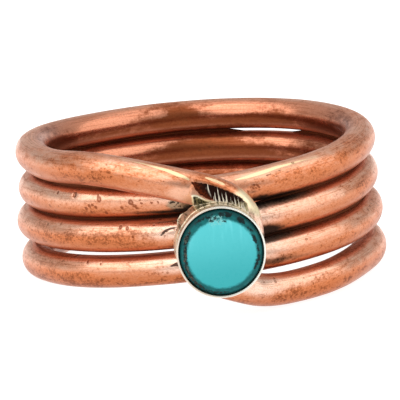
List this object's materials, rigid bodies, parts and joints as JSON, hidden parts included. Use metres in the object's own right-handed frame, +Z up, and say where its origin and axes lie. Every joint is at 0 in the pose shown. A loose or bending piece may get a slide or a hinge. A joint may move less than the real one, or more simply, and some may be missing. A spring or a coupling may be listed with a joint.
{
  "type": "coil ring",
  "caption": "Copper wire coil ring for a finger, its crossed ends soldered under a small round silver cup that holds a turquoise.",
  "frame": {"origin": "centre of the box's bottom, on the surface that the ring lies on", "axes": "+Z up, across the ring's width; -Y is the way the stone faces; +X to the right of one who looks at the stone"},
  "size_m": [0.0196, 0.0226, 0.0084],
  "materials": {
    "copper_wire": "satin polished copper, tarnished in the creases",
    "silver": "bright rim, dull solder below",
    "turquoise": "polished, dark matrix at the edge"
  },
  "bodies": {
    "root": {"coil": "copper_wire", "bezel_cup": "silver", "cabochon": "turquoise"}
  },
  "joints": []
}
